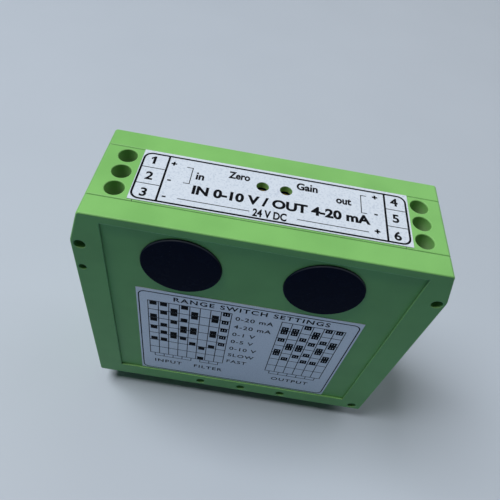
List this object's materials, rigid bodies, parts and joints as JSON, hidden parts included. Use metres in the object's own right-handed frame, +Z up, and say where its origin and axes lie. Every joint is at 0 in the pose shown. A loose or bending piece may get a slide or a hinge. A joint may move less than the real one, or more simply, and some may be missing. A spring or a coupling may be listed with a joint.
{
  "type": "signal isolator",
  "caption": "Slim green rail-mounted signal isolator with screw terminals at both ends, trimmers under the top label and capped range switches on the front.",
  "frame": {"origin": "bottom centre of the part, on the surface that the rail foot stands on", "axes": "+X along the length from the input end to the output end, -Y towards the front cover with the caps, +Z up"},
  "size_m": [0.078, 0.0262, 0.0736],
  "materials": {
    "housing": "moulded green plastic with a fine matt texture",
    "cap": "smooth black plastic",
    "top_print": "white printed film",
    "side_print": "silver-grey printed film",
    "latch": "dark moulded plastic",
    "steel": "zinc-plated steel",
    "contact_metal": "bare brass",
    "board": "solder-masked glass-fibre board",
    "trimmer_blue": "blue moulded plastic",
    "switch_red": "red moulded plastic",
    "slider_white": "white moulded plastic",
    "ferrite": "sintered ferrite",
    "winding": "enamelled copper wire under clear tape",
    "component_black": "black moulding compound",
    "can": "aluminium can in a dark sleeve",
    "film": "dark red dipped coating",
    "resistor": "lacquered body with tinned leads"
  },
  "bodies": {
    "housing": {"front_cover": "housing", "rear_cover": "housing", "centre_frame": "housing", "top_strip": "housing", "input_terminal_block": "housing", "output_terminal_block": "housing", "top_label": "top_print", "side_label": "side_print", "latch_spring": "steel", "terminal_contacts": "contact_metal", "circuit_board": "board", "zero_trimmer": "trimmer_blue", "gain_trimmer": "trimmer_blue", "input_switch": "switch_red", "output_switch": "switch_red", "transformer_core": "ferrite", "transformer_winding": "winding", "transformer_carrier": "component_black", "amplifier_chips": "component_black", "voltage_regulator": "component_black", "electrolytic_capacitors": "can", "film_capacitors": "film", "resistors": "resistor"},
    "input_plug_body": {"input_plug": "cap"},
    "output_plug_body": {"output_plug": "cap"},
    "rail_latch_body": {"rail_latch": "latch"},
    "zero_screw_body": {"zero_screw": "contact_metal"},
    "gain_screw_body": {"gain_screw": "contact_metal"},
    "clamp_screw_1_body": {"clamp_screw_1": "steel"},
    "clamp_screw_2_body": {"clamp_screw_2": "steel"},
    "clamp_screw_3_body": {"clamp_screw_3": "steel"},
    "clamp_screw_4_body": {"clamp_screw_4": "steel"},
    "clamp_screw_5_body": {"clamp_screw_5": "steel"},
    "clamp_screw_6_body": {"clamp_screw_6": "steel"},
    "clamp_cage_1_body": {"clamp_cage_1": "steel"},
    "clamp_cage_2_body": {"clamp_cage_2": "steel"},
    "clamp_cage_3_body": {"clamp_cage_3": "steel"},
    "clamp_cage_4_body": {"clamp_cage_4": "steel"},
    "clamp_cage_5_body": {"clamp_cage_5": "steel"},
    "clamp_cage_6_body": {"clamp_cage_6": "steel"},
    "input_slider_1_body": {"input_slider_1": "slider_white"},
    "input_slider_2_body": {"input_slider_2": "slider_white"},
    "input_slider_3_body": {"input_slider_3": "slider_white"},
    "input_slider_4_body": {"input_slider_4": "slider_white"},
    "input_slider_5_body": {"input_slider_5": "slider_white"},
    "input_slider_6_body": {"input_slider_6": "slider_white"},
    "input_slider_7_body": {"input_slider_7": "slider_white"},
    "input_slider_8_body": {"input_slider_8": "slider_white"},
    "output_slider_1_body": {"output_slider_1": "slider_white"},
    "output_slider_2_body": {"output_slider_2": "slider_white"},
    "output_slider_3_body": {"output_slider_3": "slider_white"},
    "output_slider_4_body": {"output_slider_4": "slider_white"},
    "output_slider_5_body": {"output_slider_5": "slider_white"},
    "output_slider_6_body": {"output_slider_6": "slider_white"}
  },
  "joints": [
    {"name": "input_plug_pull", "type": "slide", "parent": "housing", "child": "input_plug_body", "axis": [0, -1, 0], "range_m": [0, 0.015]},
    {"name": "output_plug_pull", "type": "slide", "parent": "housing", "child": "output_plug_body", "axis": [0, -1, 0], "range_m": [0, 0.015]},
    {"name": "rail_latch_slide", "type": "slide", "parent": "housing", "child": "rail_latch_body", "axis": [1, 0, 0], "range_m": [0, 0.003], "stiffness_N_per_m": 1000, "springref_m": -0.002, "deforming": ["latch_spring"]},
    {"name": "clamp_screw_1_turn", "type": "hinge", "parent": "housing", "child": "clamp_screw_1_body", "pos_m": [-0.0316, 0.005, 0.0665], "axis": [0, 0, -1], "range_deg": [0, 1350]},
    {"name": "clamp_cage_1_rise", "type": "slide", "parent": "housing", "child": "clamp_cage_1_body", "axis": [0, 0, 1], "range_m": [0, 0.00187]},
    {"name": "clamp_screw_2_turn", "type": "hinge", "parent": "housing", "child": "clamp_screw_2_body", "pos_m": [-0.0316, 0, 0.0665], "axis": [0, 0, -1], "range_deg": [0, 1350]},
    {"name": "clamp_cage_2_rise", "type": "slide", "parent": "housing", "child": "clamp_cage_2_body", "axis": [0, 0, 1], "range_m": [0, 0.00187]},
    {"name": "clamp_screw_3_turn", "type": "hinge", "parent": "housing", "child": "clamp_screw_3_body", "pos_m": [-0.0316, -0.005, 0.0665], "axis": [0, 0, -1], "range_deg": [0, 1350]},
    {"name": "clamp_cage_3_rise", "type": "slide", "parent": "housing", "child": "clamp_cage_3_body", "axis": [0, 0, 1], "range_m": [0, 0.00187]},
    {"name": "clamp_screw_4_turn", "type": "hinge", "parent": "housing", "child": "clamp_screw_4_body", "pos_m": [0.0316, 0.005, 0.0665], "axis": [0, 0, -1], "range_deg": [0, 1350]},
    {"name": "clamp_cage_4_rise", "type": "slide", "parent": "housing", "child": "clamp_cage_4_body", "axis": [0, 0, 1], "range_m": [0, 0.00187]},
    {"name": "clamp_screw_5_turn", "type": "hinge", "parent": "housing", "child": "clamp_screw_5_body", "pos_m": [0.0316, 0, 0.0665], "axis": [0, 0, -1], "range_deg": [0, 1350]},
    {"name": "clamp_cage_5_rise", "type": "slide", "parent": "housing", "child": "clamp_cage_5_body", "axis": [0, 0, 1], "range_m": [0, 0.00187]},
    {"name": "clamp_screw_6_turn", "type": "hinge", "parent": "housing", "child": "clamp_screw_6_body", "pos_m": [0.0316, -0.005, 0.0665], "axis": [0, 0, -1], "range_deg": [0, 1350]},
    {"name": "clamp_cage_6_rise", "type": "slide", "parent": "housing", "child": "clamp_cage_6_body", "axis": [0, 0, 1], "range_m": [0, 0.00187]},
    {"name": "zero_screw_turn", "type": "hinge", "parent": "housing", "child": "zero_screw_body", "pos_m": [-0.0025, 0.00255, 0.0705], "axis": [0, 0, 1], "continuous": true},
    {"name": "gain_screw_turn", "type": "hinge", "parent": "housing", "child": "gain_screw_body", "pos_m": [0.0025, 0.00255, 0.0705], "axis": [0, 0, 1], "continuous": true},
    {"name": "input_slider_1_shift", "type": "slide", "parent": "housing", "child": "input_slider_1_body", "axis": [0, 0, 1], "range_m": [0, 0.0011]},
    {"name": "input_slider_2_shift", "type": "slide", "parent": "housing", "child": "input_slider_2_body", "axis": [0, 0, 1], "range_m": [0, 0.0011]},
    {"name": "input_slider_3_shift", "type": "slide", "parent": "housing", "child": "input_slider_3_body", "axis": [0, 0, 1], "range_m": [0, 0.0011]},
    {"name": "input_slider_4_shift", "type": "slide", "parent": "housing", "child": "input_slider_4_body", "axis": [0, 0, 1], "range_m": [0, 0.0011]},
    {"name": "input_slider_5_shift", "type": "slide", "parent": "housing", "child": "input_slider_5_body", "axis": [0, 0, 1], "range_m": [0, 0.0011]},
    {"name": "input_slider_6_shift", "type": "slide", "parent": "housing", "child": "input_slider_6_body", "axis": [0, 0, 1], "range_m": [0, 0.0011]},
    {"name": "input_slider_7_shift", "type": "slide", "parent": "housing", "child": "input_slider_7_body", "axis": [0, 0, 1], "range_m": [0, 0.0011]},
    {"name": "input_slider_8_shift", "type": "slide", "parent": "housing", "child": "input_slider_8_body", "axis": [0, 0, 1], "range_m": [0, 0.0011]},
    {"name": "output_slider_1_shift", "type": "slide", "parent": "housing", "child": "output_slider_1_body", "axis": [0, 0, 1], "range_m": [0, 0.0011]},
    {"name": "output_slider_2_shift", "type": "slide", "parent": "housing", "child": "output_slider_2_body", "axis": [0, 0, 1], "range_m": [0, 0.0011]},
    {"name": "output_slider_3_shift", "type": "slide", "parent": "housing", "child": "output_slider_3_body", "axis": [0, 0, 1], "range_m": [0, 0.0011]},
    {"name": "output_slider_4_shift", "type": "slide", "parent": "housing", "child": "output_slider_4_body", "axis": [0, 0, 1], "range_m": [0, 0.0011]},
    {"name": "output_slider_5_shift", "type": "slide", "parent": "housing", "child": "output_slider_5_body", "axis": [0, 0, 1], "range_m": [0, 0.0011]},
    {"name": "output_slider_6_shift", "type": "slide", "parent": "housing", "child": "output_slider_6_body", "axis": [0, 0, 1], "range_m": [0, 0.0011]}
  ],
  "couplings": [
    {"joint": "clamp_screw_1_turn", "follows": "clamp_cage_1_rise", "rad_per_m": 12566},
    {"joint": "clamp_screw_2_turn", "follows": "clamp_cage_2_rise", "rad_per_m": 12566},
    {"joint": "clamp_screw_3_turn", "follows": "clamp_cage_3_rise", "rad_per_m": 12566},
    {"joint": "clamp_screw_4_turn", "follows": "clamp_cage_4_rise", "rad_per_m": 12566},
    {"joint": "clamp_screw_5_turn", "follows": "clamp_cage_5_rise", "rad_per_m": 12566},
    {"joint": "clamp_screw_6_turn", "follows": "clamp_cage_6_rise", "rad_per_m": 12566}
  ]
}
